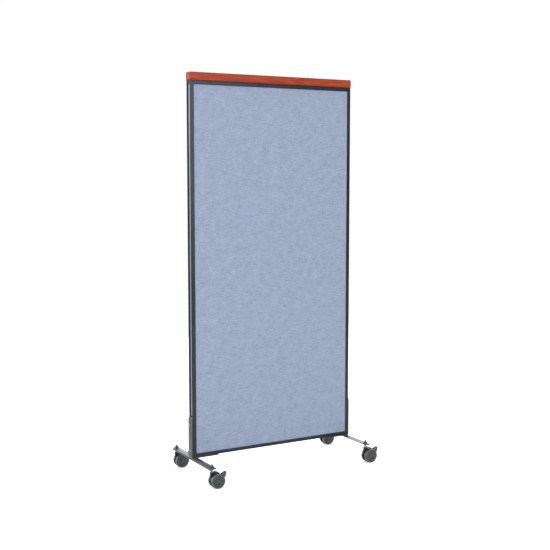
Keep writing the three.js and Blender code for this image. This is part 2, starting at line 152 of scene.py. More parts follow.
floor_mix = floor_nodes.new("ShaderNodeMixShader")
floor_links.new(floor_path.outputs["Is Camera Ray"], floor_mix.inputs["Fac"])
floor_links.new(mirrored_floor.outputs[0], floor_mix.inputs[1])
floor_links.new(floor_shader.outputs[0], floor_mix.inputs[2])
floor_links.new(floor_mix.outputs[0], floor_nodes["Material Output"].inputs["Surface"])
floor_mesh.materials.append(floor_paper)


# --- Posts and rails -----------------------------------------------------------------
# The four frame members are one aluminium extrusion with a groove outside and a pocket
# inside, powder coated a dark blue-grey. The posts run full height, with the rails between.
MM = 0.001
FRAME_EASE = 1.0 * MM


def node_group(name, inputs, outputs):
    group = bpy.data.node_groups.new(name, "ShaderNodeTree")
    for label, kind, value in inputs:
        socket = group.interface.new_socket(label, in_out="INPUT", socket_type=kind)
        if value is not None:
            socket.default_value = value
    for label, kind in outputs:
        group.interface.new_socket(label, in_out="OUTPUT", socket_type=kind)
    return group, group.nodes.new("NodeGroupInput"), group.nodes.new("NodeGroupOutput")


def new_math(tree, operation, a, b=None, clamp=False):
    node = tree.nodes.new("ShaderNodeMath")
    node.operation = operation
    node.use_clamp = clamp
    for slot, value in enumerate((a, b)):
        if value is None:
            continue
        if isinstance(value, (int, float)):
            node.inputs[slot].default_value = value
        else:
            tree.links.new(value, node.inputs[slot])
    return node.outputs[0]


def new_noise(tree, vector, scale, detail=3.0, roughness=0.55):
    node = tree.nodes.new("ShaderNodeTexNoise")
    node.inputs["Scale"].default_value = scale
    node.inputs["Detail"].default_value = detail
    node.inputs["Roughness"].default_value = roughness
    tree.links.new(vector, node.inputs["Vector"])
    return node.outputs["Fac"]


def stretched(tree, vector, scales):
    node = tree.nodes.new("ShaderNodeMapping")
    node.inputs["Scale"].default_value = scales
    tree.links.new(vector, node.inputs["Vector"])
    return node.outputs["Vector"]


def new_ramp(tree, factor, low, high):
    node = tree.nodes.new("ShaderNodeMapRange")
    node.inputs["From Min"].default_value = low
    node.inputs["From Max"].default_value = high
    tree.links.new(factor, node.inputs["Value"])
    return node.outputs["Result"]


def mixed_colour(tree, factor, first, second):
    node = tree.nodes.new("ShaderNodeMix")
    node.data_type = "RGBA"
    tree.links.new(factor, node.inputs["Factor"])
    for label, value in (("A", first), ("B", second)):
        socket = [s for s in node.inputs if s.name == label and s.type == "RGBA"][0]
        if isinstance(value, tuple):
            socket.default_value = (*value, 1)
        else:
            tree.links.new(value, socket)
    return [s for s in node.outputs if s.type == "RGBA"][0]


# Grain: the fine skin of a powder coat or of moulded plastic.
grain, grain_in, grain_out = node_group(
    "surface grain",
    [
        ("Vector", "NodeSocketVector", None),
        ("Size", "NodeSocketFloat", 0.0012),
        ("Blotch", "NodeSocketFloat", 0.05),
    ],
    [("Height", "NodeSocketFloat"), ("Cloud", "NodeSocketFloat")],
)
grain_scale = new_math(grain, "DIVIDE", 1.0, grain_in.outputs["Size"])
grain_fine = new_noise(grain, grain_in.outputs["Vector"], 1.0, 2.0, 0.5)
grain.links.new(grain_scale, grain_fine.node.inputs["Scale"])
blotch_scale = new_math(grain, "DIVIDE", 1.0, grain_in.outputs["Blotch"])
grain_cloud = new_noise(grain, grain_in.outputs["Vector"], 1.0, 3.0, 0.6)
grain.links.new(blotch_scale, grain_cloud.node.inputs["Scale"])
grain.links.new(grain_fine, grain_out.inputs["Height"])
grain.links.new(new_ramp(grain, grain_cloud, 0.3, 0.7), grain_out.inputs["Cloud"])

# Scuffs: sparse pale rubs and fine scratches from handling.
scuffs, scuffs_in, scuffs_out = node_group(
    "scuffs",
    [
        ("Vector", "NodeSocketVector", None),
        ("Amount", "NodeSocketFloat", 0.3),
    ],
    [("Mask", "NodeSocketFloat")],
)
long_marks = new_noise(
    scuffs, stretched(scuffs, scuffs_in.outputs["Vector"], (60, 420, 900)), 1.0, 4.0, 0.65
)
patches = new_noise(scuffs, scuffs_in.outputs["Vector"], 14.0, 3.0, 0.6)
mark_mask = new_math(
    scuffs,
    "MULTIPLY",
    new_ramp(scuffs, long_marks, 0.60, 0.72),
    new_ramp(scuffs, patches, 0.52, 0.68),
)
scuffs.links.new(
    new_math(scuffs, "MULTIPLY", mark_mask, scuffs_in.outputs["Amount"], clamp=True),
    scuffs_out.inputs["Mask"],
)


def coated(
    name,
    dark,
    light,
    roughness,
    grain_size=0.0012,
    bump=0.12,
    scuff=0.3,
    scuff_colour=(0.3, 0.3, 0.3),
    metallic=0.0,
    coat=0.0,
):
    """A painted or moulded skin: two close tones in clouds, a fine grain and light scuffs."""
    material = bpy.data.materials.new(name)
    material.use_nodes = True
    tree = material.node_tree
    shader = tree.nodes["Principled BSDF"]
    place = tree.nodes.new("ShaderNodeTexCoord").outputs["Object"]
    skin = tree.nodes.new("ShaderNodeGroup")
    skin.node_tree = grain
    skin.inputs["Size"].default_value = grain_size
    tree.links.new(place, skin.inputs["Vector"])
    rubs = tree.nodes.new("ShaderNodeGroup")
    rubs.node_tree = scuffs
    rubs.inputs["Amount"].default_value = scuff
    tree.links.new(place, rubs.inputs["Vector"])
    tone = mixed_colour(tree, skin.outputs["Cloud"], dark, light)
    tone = mixed_colour(tree, rubs.outputs["Mask"], tone, scuff_colour)
    tree.links.new(tone, shader.inputs["Base Color"])
    rough = new_math(tree, "MULTIPLY", skin.outputs["Cloud"], 0.08)
    rough = new_math(tree, "ADD", rough, roughness - 0.04)
    rough = new_math(
        tree, "ADD", rough, new_math(tree, "MULTIPLY", rubs.outputs["Mask"], 0.25), clamp=True
    )
    tree.links.new(rough, shader.inputs["Roughness"])
    dimple = tree.nodes.new("ShaderNodeBump")
    dimple.inputs["Strength"].default_value = bump
    dimple.inputs["Distance"].default_value = 0.0004
    tree.links.new(skin.outputs["Height"], dimple.inputs["Height"])
    tree.links.new(dimple.outputs["Normal"], shader.inputs["Normal"])
    shader.inputs["Metallic"].default_value = metallic
    shader.inputs["Coat Weight"].default_value = coat
    shader.inputs["Coat Roughness"].default_value = 0.18
    return material


def welded(node):
    """A copy of a CAD node's faces with its doubled corners merged and its flats made whole."""
    work = bmesh.new()
    work.from_mesh(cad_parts[node].data)
    bmesh.ops.remove_doubles(work, verts=work.verts, dist=1e-6)
    bmesh.ops.dissolve_limit(
        work, angle_limit=math.radians(1), verts=work.verts, edges=work.edges
    )
    bmesh.ops.recalc_face_normals(work, faces=work.faces)
    return work


def ease(work, width, segments=2, sharper_than=28):
    """Rounds every edge sharper than the given angle."""
    edges = [
        e
        for e in work.edges
        if e.is_manifold and e.calc_face_angle(0) > math.radians(sharper_than)
    ]
    bmesh.ops.bevel(
        work,
        geom=edges,
        offset=width,
        offset_type="OFFSET",
        segments=segments,
        profile=0.5,
        affect="EDGES",
        clamp_overlap=True,
    )


def evaluated_mesh(piece, name):
    """The plain mesh that an object's modifiers give."""
    graph = bpy.context.evaluated_depsgraph_get()
    graph.update()
    mesh = bpy.data.meshes.new_from_object(piece.evaluated_get(graph), depsgraph=graph)
    mesh.name = name
    return mesh


def shade(mesh, angle=35):
    """Smooths over edges blunter than the angle, and keeps the flats beside them flat."""
    mesh.shade_smooth()
    mesh.set_sharp_from_angle(angle=math.radians(angle))
    holder = bpy.data.objects.new("shading holder", mesh)
    scene.collection.objects.link(holder)
    leaning = holder.modifiers.new("leaning normals", "WEIGHTED_NORMAL")
    leaning.keep_sharp = True
    shaded = evaluated_mesh(holder, mesh.name)
    holder.modifiers.clear()
    bpy.data.objects.remove(holder)
    return shaded


def settle(work, name, material, body, nodes, angle=35):
    """Makes the finished piece from its faces and puts it in place of its nodes."""
    mesh = bpy.data.meshes.new(name)
    work.to_mesh(mesh)
    work.free()
    return place_piece(mesh, name, material, body, nodes, angle)


def place_piece(mesh, name, material, body, nodes, angle=35):
    """Hangs a shaded mesh on its body, with its materials unless it has them already."""
    mesh = shade(mesh, angle)
    materials = material if isinstance(material, (list, tuple)) else [material]
    if not mesh.materials:
        for one in materials:
            mesh.materials.append(one)
    piece = bpy.data.objects.new(name, mesh)
    scene.collection.objects.link(piece)
    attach(piece, body)
    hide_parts(*nodes)
    return piece


frame_coat = coated(
    "frame powder coat",
    (0.050, 0.061, 0.079),
    (0.060, 0.072, 0.092),
    0.34,
    grain_size=0.0014,
    bump=0.10,
    scuff=0.25,
    scuff_colour=(0.12, 0.13, 0.15),
    metallic=0.84,
)
frame_coat.node_tree.nodes["Principled BSDF"].inputs["Specular Tint"].default_value = (
    0.45,
    0.48,
    0.52,
    1,
)
for member in ("left_post", "right_post", "bottom_rail", "top_rail"):
    work = welded(member)
    ease(work, FRAME_EASE, 3)
    settle(work, f"{member}_extrusion", frame_coat, "wall", [member])

# --- Corner keys ---------------------------------------------------------------------
# Zinc-plated steel angles inside the frame's corners, which the lower bracket screws
# go through. They're stamped plates, hidden once the wall is assembled.
zinc_plate = coated(
    "zinc plate",
    (0.42, 0.43, 0.45),
    (0.60, 0.61, 0.62),
    0.32,
    grain_size=0.004,
    bump=0.05,
    scuff=0.2,
    scuff_colour=(0.25, 0.25, 0.26),
    metallic=0.9,
)
PLATE_EASE = 0.4 * MM
for level in ("bottom", "top"):
    for side in ("left", "right"):
        key = f"corner_key_{level}_{side}"
        work = welded(key)
        ease(work, PLATE_EASE, 2)
        settle(work, f"{key}_plate", zinc_plate, "wall", [key])

# --- Trim strips and groove plugs ----------------------------------------------------
# A satin grey strip lies on the floor of each post's end groove, brushed along its length.
# A black moulded plug with an arched lower edge closes the groove's top.
brushed = bpy.data.materials.new("brushed strip")
brushed.use_nodes = True
tree = brushed.node_tree
shader = tree.nodes["Principled BSDF"]
place = tree.nodes.new("ShaderNodeTexCoord").outputs["Object"]
lines = new_noise(tree, stretched(tree, place, (1500, 1500, 4)), 1.0, 3.0, 0.6)
tree.links.new(
    mixed_colour(tree, lines, (0.36, 0.37, 0.39), (0.50, 0.51, 0.53)),
    shader.inputs["Base Color"],
)
rough = new_math(tree, "ADD", new_math(tree, "MULTIPLY", lines, 0.15), 0.28)
tree.links.new(rough, shader.inputs["Roughness"])
brushing = tree.nodes.new("ShaderNodeBump")
brushing.inputs["Strength"].default_value = 0.15
brushing.inputs["Distance"].default_value = 0.0002
tree.links.new(lines, brushing.inputs["Height"])
tree.links.new(brushing.outputs["Normal"], shader.inputs["Normal"])
shader.inputs["Metallic"].default_value = 0.85

plug_black = coated(
    "black moulded plug", (0.012, 0.012, 0.014), (0.018, 0.018, 0.02), 0.5, bump=0.2
)
STRIP_EASE = 0.35 * MM
PLUG_EASE = 0.5 * MM
for side in ("left", "right"):
    strip = f"{side}_trim_strip"
    work = welded(strip)
    ease(work, STRIP_EASE, 2)
    settle(work, f"{strip}_brushed", brushed, "wall", [strip])
    plug = f"{side}_groove_plug"
    work = welded(plug)
    ease(work, PLUG_EASE, 2, sharper_than=35)
    settle(work, f"{plug}_moulding", plug_black, "wall", [plug])

# --- Panel core and tack boards ------------------------------------------------------
# The panel is a paper honeycomb slab between two fibre tack boards. Fabric and frame
# hide them all, so each keeps its plain slab, with a material of its own.
honeycomb = coated(
    "kraft honeycomb", (0.38, 0.25, 0.12), (0.50, 0.35, 0.18), 0.9, 0.006, 0.6, 0.1
)
fibreboard = coated(
    "fibre board", (0.22, 0.14, 0.08), (0.31, 0.21, 0.12), 0.92, 0.003, 0.5, 0.1
)
for node, slab in (
    ("panel_core", honeycomb),
    ("front_tackboard", fibreboard),
    ("rear_tackboard", fibreboard),
):
    slab_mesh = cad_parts[node].data
    slab_mesh.materials.clear()
    slab_mesh.materials.append(slab)

# --- Fabric --------------------------------------------------------------------------
# A heathered blue-grey panel cloth, stretched over each tack board and tucked behind the
# frame's lips. Its edge falls away in a small roll just inside the frame.
FRAME_FACE = 17.9 * MM  # width of the frame's face
ROLL = 2.6 * MM  # how far the roll at the edge reaches in
ROLL_DEPTH = 0.55 * MM
ROLL_STEPS = 6
LIP_GAP = 0.3 * MM  # the roll starts this far inside the lip
CLOTH = 0.6 * MM
SIDE_PARTS = 16  # faces along each side of the sheet
THREAD_PAIR = 1.3 * MM
DYE_SHARE = 0.26  # share of the colour's change that is in broad clouds

cloth = bpy.data.materials.new("heathered panel cloth")
cloth.use_nodes = True
tree = cloth.node_tree
shader = tree.nodes["Principled BSDF"]
place = tree.nodes.new("ShaderNodeTexCoord").outputs["Object"]
THREADS = 2 * math.pi / THREAD_PAIR
axes = tree.nodes.new("ShaderNodeSeparateXYZ")
tree.links.new(place, axes.inputs[0])
warp = new_math(tree, "SINE", new_math(tree, "MULTIPLY", axes.outputs["X"], THREADS))
weft = new_math(tree, "SINE", new_math(tree, "MULTIPLY", axes.outputs["Z"], THREADS))
weave = new_math(tree, "MULTIPLY", warp, weft)
weave_up = new_math(tree, "ADD", new_math(tree, "MULTIPLY", weave, 0.5), 0.5)
weft_slubs = new_noise(tree, stretched(tree, place, (34, 1, 170)), 1.0, 4.0, 0.68)
warp_slubs = new_noise(tree, stretched(tree, place, (170, 1, 30)), 1.0, 3.0, 0.65)
flecks = new_noise(tree, stretched(tree, place, (110, 1, 210)), 1.0, 3.0, 0.7)
heather = new_math(
    tree,
    "ADD",
    new_math(tree, "MULTIPLY", new_ramp(tree, weft_slubs, 0.36, 0.64), 0.5),
    new_math(
        tree,
        "ADD",
        new_math(tree, "MULTIPLY", new_ramp(tree, warp_slubs, 0.35, 0.65), 0.2),
        new_math(tree, "MULTIPLY", new_ramp(tree, flecks, 0.32, 0.68), 0.3),
    ),
)
dye_clouds = new_noise(tree, stretched(tree, place, (20, 1, 26)), 1.0, 3.0, 0.55)
heather = new_math(tree, "MULTIPLY", heather, 1 - DYE_SHARE)
heather = new_math(
    tree,
    "ADD",
    heather,
    new_math(tree, "MULTIPLY", new_ramp(tree, dye_clouds, 0.3, 0.7), DYE_SHARE),
)
heathered = mixed_colour(tree, heather, (0.195, 0.256, 0.372), (0.450, 0.536, 0.716))
threaded = mixed_colour(
    tree, new_math(tree, "MULTIPLY", weave_up, 0.30), heathered, (0.50, 0.55, 0.67)
)
tree.links.new(threaded, shader.inputs["Base Color"])
shader.inputs["Roughness"].default_value = 0.92
shader.inputs["Sheen Weight"].default_value = 0.15
shader.inputs["Sheen Roughness"].default_value = 0.5
relief = tree.nodes.new("ShaderNodeBump")
relief.inputs["Strength"].default_value = 0.5
relief.inputs["Distance"].default_value = 0.0005
tree.links.new(
    new_math(tree, "ADD", weave_up, new_math(tree, "MULTIPLY", weft_slubs, 0.8)),
    relief.inputs["Height"],
)
tree.links.new(relief.outputs["Normal"], shader.inputs["Normal"])


def stretched_cloth(node, outward):
    """A thin closed sheet: flat in the middle, rolled back at its edge, flat under the lips."""
    low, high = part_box(node)
    face = low.y if outward < 0 else high.y
    tuck = FRAME_FACE - (low.x - wall_left)  # cloth hidden under the frame's lip
    steps = [(0.0, ROLL_DEPTH), (tuck + LIP_GAP, ROLL_DEPTH)]
    for i in range(1, ROLL_STEPS + 1):
        turn = i / ROLL_STEPS * math.pi / 2
        reach = tuck + LIP_GAP + ROLL * math.sin(turn)
        steps.append((reach, ROLL_DEPTH * (1 - math.sin(turn)) ** 1.4))
    work = bmesh.new()
    rings = []
    for inset, back in steps:
        ring = []
        corners = [
            (low.x + inset, low.z + inset),
            (high.x - inset, low.z + inset),
            (high.x - inset, high.z - inset),
            (low.x + inset, high.z - inset),
        ]
        for (ax, az), (bx, bz) in zip(corners, corners[1:] + corners[:1]):
            for part in range(SIDE_PARTS):
                t = part / SIDE_PARTS
                spot = (ax + (bx - ax) * t, face - outward * back, az + (bz - az) * t)
                ring.append(work.verts.new(spot))
        rings.append(ring)
    for outer, inner in zip(rings, rings[1:]):
        for i in range(4 * SIDE_PARTS):
            j = (i + 1) % (4 * SIDE_PARTS)
            work.faces.new((outer[i], outer[j], inner[j], inner[i]))
    work.faces.new(rings[-1])
    bmesh.ops.recalc_face_normals(work, faces=work.faces)
    work.faces.ensure_lookup_table()
    if work.faces[-1].normal.y * outward < 0:
        bmesh.ops.reverse_faces(work, faces=work.faces)
    back_faces = bmesh.ops.duplicate(work, geom=work.faces[:] + work.verts[:] + work.edges[:])
    copied = [v for v in back_faces["geom"] if isinstance(v, bmesh.types.BMVert)]
    for v in copied:
        v.co.y -= outward * CLOTH
    copied_faces = [f for f in back_faces["geom"] if isinstance(f, bmesh.types.BMFace)]
    bmesh.ops.reverse_faces(work, faces=copied_faces)
    borders = [e for e in work.edges if e.is_boundary]
    bmesh.ops.bridge_loops(work, edges=borders)
    bmesh.ops.recalc_face_normals(work, faces=work.faces)
    return work


for node, outward, board in (
    ("front_fabric", -1, "front_tackboard"),
    ("rear_fabric", 1, "rear_tackboard"),
):
    work = stretched_cloth(node, outward)
    sheet = settle(work, f"{node}_cloth", cloth, "wall", [node], angle=60)
    low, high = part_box(node)

# --- Wood cap ------------------------------------------------------------------------
# A solid cherry-stained board on top of the frame, with rounded corners and eased edges,
# lacquered. Steel clips in the top rail's groove hold it from below.
cherry = bpy.data.materials.new("cherry stained wood")
cherry.use_nodes = True
tree = cherry.node_tree
shader = tree.nodes["Principled BSDF"]
place = tree.nodes.new("ShaderNodeTexCoord").outputs["Object"]
figure = new_noise(tree, stretched(tree, place, (2.2, 26, 34)), 1.0, 3.0, 0.6)
fibres = new_noise(tree, stretched(tree, place, (9, 380, 420)), 1.0, 4.0, 0.65)
pores = new_noise(tree, stretched(tree, place, (55, 1500, 1700)), 1.0, 2.0, 0.5)
bands = new_math(
    tree,
    "SINE",
    new_math(tree, "MULTIPLY", new_ramp(tree, figure, 0.3, 0.7), 15.0),
)
grain_tone = new_math(
    tree,
    "ADD",
    new_math(tree, "MULTIPLY", bands, 0.28),
    new_math(tree, "MULTIPLY", new_ramp(tree, fibres, 0.3, 0.7), 0.7),
    clamp=True,
)
stained = mixed_colour(tree, grain_tone, (0.345, 0.034, 0.010), (0.590, 0.080, 0.021))
pored = mixed_colour(
    tree,
    new_math(tree, "MULTIPLY", new_ramp(tree, pores, 0.62, 0.72), 0.35),
    stained,
    (0.20, 0.03, 0.012),
)
# Painted shade: the colour darkens towards near black over a band at the cap's top and bottom
# edges, for the eased edges turned from the light and the dark gap under the cap.
cap_low, cap_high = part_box("wood_cap")
EDGE_SHADE_BAND = 6.5 * MM
heights = tree.nodes.new("ShaderNodeSeparateXYZ")
tree.links.new(place, heights.inputs[0])
off_middle = new_math(
    tree,
    "ABSOLUTE",
    new_math(tree, "SUBTRACT", heights.outputs["Z"], (cap_low.z + cap_high.z) / 2),
)
half_height = (cap_high.z - cap_low.z) / 2
painted_edge_shade = new_ramp(tree, off_middle, half_height - EDGE_SHADE_BAND, half_height)
# The near-black colour here is the painted shade on the cap's edges.
edge_shaded = mixed_colour(
    tree, new_math(tree, "MULTIPLY", painted_edge_shade, 0.9), pored, (0.10, 0.016, 0.008)
)
tree.links.new(edge_shaded, shader.inputs["Base Color"])
shader.inputs["Roughness"].default_value = 0.5
shader.inputs["Specular IOR Level"].default_value = 0.3
shader.inputs["Coat Weight"].default_value = 0.12
shader.inputs["Coat Roughness"].default_value = 0.25
wood_relief = tree.nodes.new("ShaderNodeBump")
wood_relief.inputs["Strength"].default_value = 0.12
wood_relief.inputs["Distance"].default_value = 0.0003
tree.links.new(fibres, wood_relief.inputs["Height"])
tree.links.new(wood_relief.outputs["Normal"], shader.inputs["Normal"])

CAP_CORNER = 7.0 * MM
CAP_EDGE = 3.4 * MM
CAP_EDGE_STEPS = 4


def rounded_ring(solid, low, high, inset, radius, height, each=8):
    """A level outline with four round corners, set in from the box by the inset."""
    ring = []
    for (cx, cy), start in (
        ((high.x - inset - radius, high.y - inset - radius), 0),
        ((low.x + inset + radius, high.y - inset - radius), 90),
        ((low.x + inset + radius, low.y + inset + radius), 180),
        ((high.x - inset - radius, low.y + inset + radius), 270),
    ):
        for i in range(each + 1):
            angle = math.radians(start + 90 * i / each)
            x = cx + radius * math.cos(angle)
            y = cy + radius * math.sin(angle)
            ring.append(solid.verts.new((x, y, height)))
    return ring


work = bmesh.new()
levels = []
for i in range(CAP_EDGE_STEPS + 1):
    turn = math.pi / 2 * i / CAP_EDGE_STEPS
    levels.append((CAP_EDGE * (1 - math.sin(turn)), CAP_EDGE * (1 - math.cos(turn))))
cap_rings = [
    rounded_ring(work, cap_low, cap_high, inset, CAP_CORNER - inset, cap_low.z + rise)
    for inset, rise in levels
]
cap_rings += [
    rounded_ring(work, cap_low, cap_high, inset, CAP_CORNER - inset, cap_high.z - rise)
    for inset, rise in reversed(levels)
]
for lower, upper in zip(cap_rings, cap_rings[1:]):
    for i in range(len(lower)):
        j = (i + 1) % len(lower)
        work.faces.new((lower[i], lower[j], upper[j], upper[i]))
work.faces.new(list(reversed(cap_rings[0])))
work.faces.new(cap_rings[-1])
bmesh.ops.recalc_face_normals(work, faces=work.faces)
settle(work, "cherry_cap", cherry, "wall", ["wood_cap"], angle=50)

for side in ("left", "right"):
    clip = f"{side}_cap_clip"
    work = welded(clip)
    ease(work, PLATE_EASE, 2)
    settle(work, f"{clip}_channel", zinc_plate, "wall", [clip])

# --- Foot brackets and bars ----------------------------------------------------------
# Flat steel bent to an L runs up each post's end and under the bottom rail. A folded steel
# bar crosses beneath it and carries the casters. All are painted a semi-gloss grey.
foot_coat = coated(
    "foot enamel",
    (0.066, 0.066, 0.066),
    (0.080, 0.080, 0.079),
    0.30,
    grain_size=0.0018,
    bump=0.06,
    scuff=0.35,
    scuff_colour=(0.22, 0.22, 0.21),
    coat=0.15,
)
BRACKET_EASE = 0.8 * MM
BAR_EASE = 0.7 * MM
for side in ("left", "right"):
    for node, made, width in (
        (f"{side}_foot_bracket", "strap", BRACKET_EASE),
        (f"{side}_foot_bar", "folded", BAR_EASE),
    ):
        work = welded(node)
        ease(work, width, 3, sharper_than=33)
        settle(work, f"{node}_{made}", foot_coat, "wall", [node])

# --- Bracket screws ------------------------------------------------------------------
# Pan-head machine screws, zinc plated, with a cross recess. Two go through each bracket
# into the post, and the lower one into the corner key.
HEAD_SEGMENTS = 32
screw_low, screw_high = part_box("left_bracket_screw_1")
HEAD_R = (screw_high.z - screw_low.z) / 2
HEAD_H = 2.8 * MM
HEAD_DOME = 1.9 * MM
HEAD_RIM = 0.2 * MM
SHANK_R = 2.4 * MM
SHANK_POINT = 0.8 * MM
SHANK_END = screw_high.x - screw_low.x


def lathe(profile, segments):
    """Turns (radius, height) pairs about Z. A radius of nought makes a closed pole."""
    turned = bmesh.new()
    rings = []
    for radius, height in profile:
        if radius < 1e-9:
            rings.append([turned.verts.new((0, 0, height))])
            continue
        ring = []
        for i in range(segments):
            angle = 2 * math.pi * i / segments
            spot = (radius * math.cos(angle), radius * math.sin(angle), height)
            ring.append(turned.verts.new(spot))
        rings.append(ring)
    for lower, upper in zip(rings, rings[1:]):
        for i in range(segments):
            j = (i + 1) % segments
            corners = [lower[i % len(lower)], lower[j % len(lower)]]
            corners += [upper[j % len(upper)], upper[i % len(upper)]]
            unique = list(dict.fromkeys(corners))
            if len(unique) > 2:
                turned.faces.new(unique)
    bmesh.ops.recalc_face_normals(turned, faces=turned.faces)
    return turned


dome = [(0.0, 0.0)]
for i in range(1, 6):
    bend = i / 5 * math.pi / 2
    dome.append((HEAD_R * math.sin(bend) ** 0.7, HEAD_DOME * (1 - math.cos(bend))))
screw_profile = dome + [
    (HEAD_R, HEAD_H - HEAD_RIM),
    (HEAD_R - HEAD_RIM, HEAD_H),
    (SHANK_R, HEAD_H),
    (SHANK_R, SHANK_END - SHANK_POINT),
    (SHANK_R - SHANK_POINT, SHANK_END),
    (0.0, SHANK_END),
]
screw_work = lathe(screw_profile, HEAD_SEGMENTS)
screw_mesh = bpy.data.meshes.new("pan head screw")
screw_work.to_mesh(screw_mesh)
screw_work.free()

RECESS_ARM = 2.6 * MM
RECESS_TIP = 1.4 * MM  # the arms are shorter at the bottom of the recess
RECESS_HALF_WIDTH = 0.55 * MM
RECESS_DEPTH = 1.6 * MM
recess_work = bmesh.new()
recess_rings = []
for arm, depth in ((RECESS_ARM, -RECESS_DEPTH), (RECESS_ARM, 0.0), (RECESS_TIP, RECESS_DEPTH)):
    ring = []
    for turn in range(4):
        quarter = Matrix.Rotation(math.radians(90 * turn), 3, "Z")
        for x, y in (
            (arm, -RECESS_HALF_WIDTH),
            (arm, RECESS_HALF_WIDTH),
            (RECESS_HALF_WIDTH, RECESS_HALF_WIDTH),
        ):
            ring.append(recess_work.verts.new(quarter @ Vector((x, y, depth))))
    recess_rings.append(ring)
for lower, upper in zip(recess_rings, recess_rings[1:]):
    for i in range(12):
        j = (i + 1) % 12
        recess_work.faces.new((lower[i], lower[j], upper[j], upper[i]))
recess_work.faces.new(list(reversed(recess_rings[0])))
recess_work.faces.new(recess_rings[-1])
bmesh.ops.recalc_face_normals(recess_work, faces=recess_work.faces)
recess_mesh = bpy.data.meshes.new("cross recess")
recess_work.to_mesh(recess_mesh)
recess_work.free()


blank = bpy.data.objects.new("screw blank", screw_mesh)
punch = bpy.data.objects.new("screw punch", recess_mesh)
scene.collection.objects.link(blank)
scene.collection.objects.link(punch)
cutter = blank.modifiers.new("recess", "BOOLEAN")
cutter.operation = "DIFFERENCE"
cutter.solver = "EXACT"
cutter.object = punch
cross_screw = evaluated_mesh(blank, "cross recess screw")
blank.modifiers.clear()
bpy.data.objects.remove(punch)
blank.data = cross_screw


def geometry_tree(name, inputs):
    """A new Geometry Nodes tree with named inputs, its input node and its output node."""
    tree = bpy.data.node_groups.new(name, "GeometryNodeTree")
    tree.interface.new_socket("Geometry", in_out="INPUT", socket_type="NodeSocketGeometry")
    for label, kind, value in inputs:
        socket = tree.interface.new_socket(label, in_out="INPUT", socket_type=kind)
        if value is not None:
            socket.default_value = value
    tree.interface.new_socket("Geometry", in_out="OUTPUT", socket_type="NodeSocketGeometry")
    return tree, tree.nodes.new("NodeGroupInput"), tree.nodes.new("NodeGroupOutput")


def finish_tree(tree, instances, output, material):
    """Ends a tree: instances made real, then given their material."""
    real = tree.nodes.new("GeometryNodeRealizeInstances")
    paint = tree.nodes.new("GeometryNodeSetMaterial")
    paint.inputs["Material"].default_value = material
    tree.links.new(instances, real.inputs[0])
    tree.links.new(real.outputs[0], paint.inputs["Geometry"])
    tree.links.new(paint.outputs[0], output.inputs["Geometry"])


def run_tree(base_mesh, tree, values, name):
    """Runs a tree on a mesh with the given inputs, and returns the plain mesh."""
    holder = bpy.data.objects.new(f"{name} holder", base_mesh)
    scene.collection.objects.link(holder)
    modifier = holder.modifiers.new(name, "NODES")
    modifier.node_group = tree
    for item in tree.interface.items_tree:
        if item.item_type == "SOCKET" and item.in_out == "INPUT" and item.name in values:
            modifier[item.identifier] = values[item.name]
    mesh = evaluated_mesh(holder, name)
    holder.modifiers.clear()
    bpy.data.objects.remove(holder)
    return mesh


# One screw on each point; a screw's turn about its own axis differs from point to point.
screw_tree, screw_in, screw_out = geometry_tree(
    "screws on points",
    [
        ("Screw", "NodeSocketObject", None),
        ("Facing", "NodeSocketVector", (0, 0, 0)),
        ("Seed", "NodeSocketInt", 7),
    ],
)
screw_info = screw_tree.nodes.new("GeometryNodeObjectInfo")
screw_points = screw_tree.nodes.new("GeometryNodeInstanceOnPoints")
screw_random = screw_tree.nodes.new("FunctionNodeRandomValue")
screw_random.data_type = "FLOAT"
screw_spin = screw_tree.nodes.new("GeometryNodeRotateInstances")
screw_turn = screw_tree.nodes.new("ShaderNodeCombineXYZ")
random_max = [s for s in screw_random.inputs if s.name == "Max" and s.type == "VALUE"][0]
random_max.default_value = 1.5
random_value = [s for s in screw_random.outputs if s.type == "VALUE"][0]
screw_tree.links.new(screw_in.outputs["Screw"], screw_info.inputs["Object"])
screw_tree.links.new(screw_in.outputs["Geometry"], screw_points.inputs["Points"])
screw_tree.links.new(screw_info.outputs["Geometry"], screw_points.inputs["Instance"])
screw_tree.links.new(screw_in.outputs["Facing"], screw_points.inputs["Rotation"])
screw_tree.links.new(screw_in.outputs["Seed"], screw_random.inputs["Seed"])
screw_tree.links.new(random_value, screw_turn.inputs["Z"])
screw_tree.links.new(screw_points.outputs[0], screw_spin.inputs["Instances"])
screw_tree.links.new(screw_turn.outputs[0], screw_spin.inputs["Rotation"])
finish_tree(screw_tree, screw_spin.outputs[0], screw_out, zinc_plate)

for side, facing in (("left", 90), ("right", -90)):
    nodes = [f"{side}_bracket_screw_{i}" for i in (1, 2)]
    spots = []
    for node in nodes:
        low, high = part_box(node)
        middle = (low + high) / 2
        spots.append((low.x if side == "left" else high.x, middle.y, middle.z))
    points = bpy.data.meshes.new("screw places")
    points.from_pydata(spots, [], [])
    mesh = run_tree(
        points,
        screw_tree,
        {"Screw": blank, "Facing": (0, math.radians(facing), 0), "Seed": 7},
        f"{side}_bracket_screws",
    )
    place_piece(mesh, f"{side}_bracket_screws", zinc_plate, "wall", nodes, 40)
bpy.data.objects.remove(blank)

# --- Caster stems and nuts -----------------------------------------------------------
# Each caster has a zinc-plated stud: a pin in the hood, a hexagon collar under the bar and
# a threaded end through it, held by a painted nut.
CASTERS = [f"{end}_{side}" for end in ("front", "rear") for side in ("left", "right")]
STEM_R = 5.0 * MM
PIN_R = 3.5 * MM
COLLAR_R = 7.45 * MM
COLLAR_FLAT = 6.7 * MM  # half the width across the collar's flats
COLLAR_GAP = 0.3 * MM
STEM_EASE = 0.6 * MM
BAR_THICK = 4.3 * MM  # the bar, and the gap under it
THREAD_PITCH = 1.5 * MM
THREAD_DEPTH = 0.6 * MM
POINT_LENGTH = 1.6 * MM
POINT_DEPTH = 1.0 * MM
PAINTED_FROM = 4.0 * MM  # the stud is painted from this far above its collar
NUT_EASE = 0.7 * MM


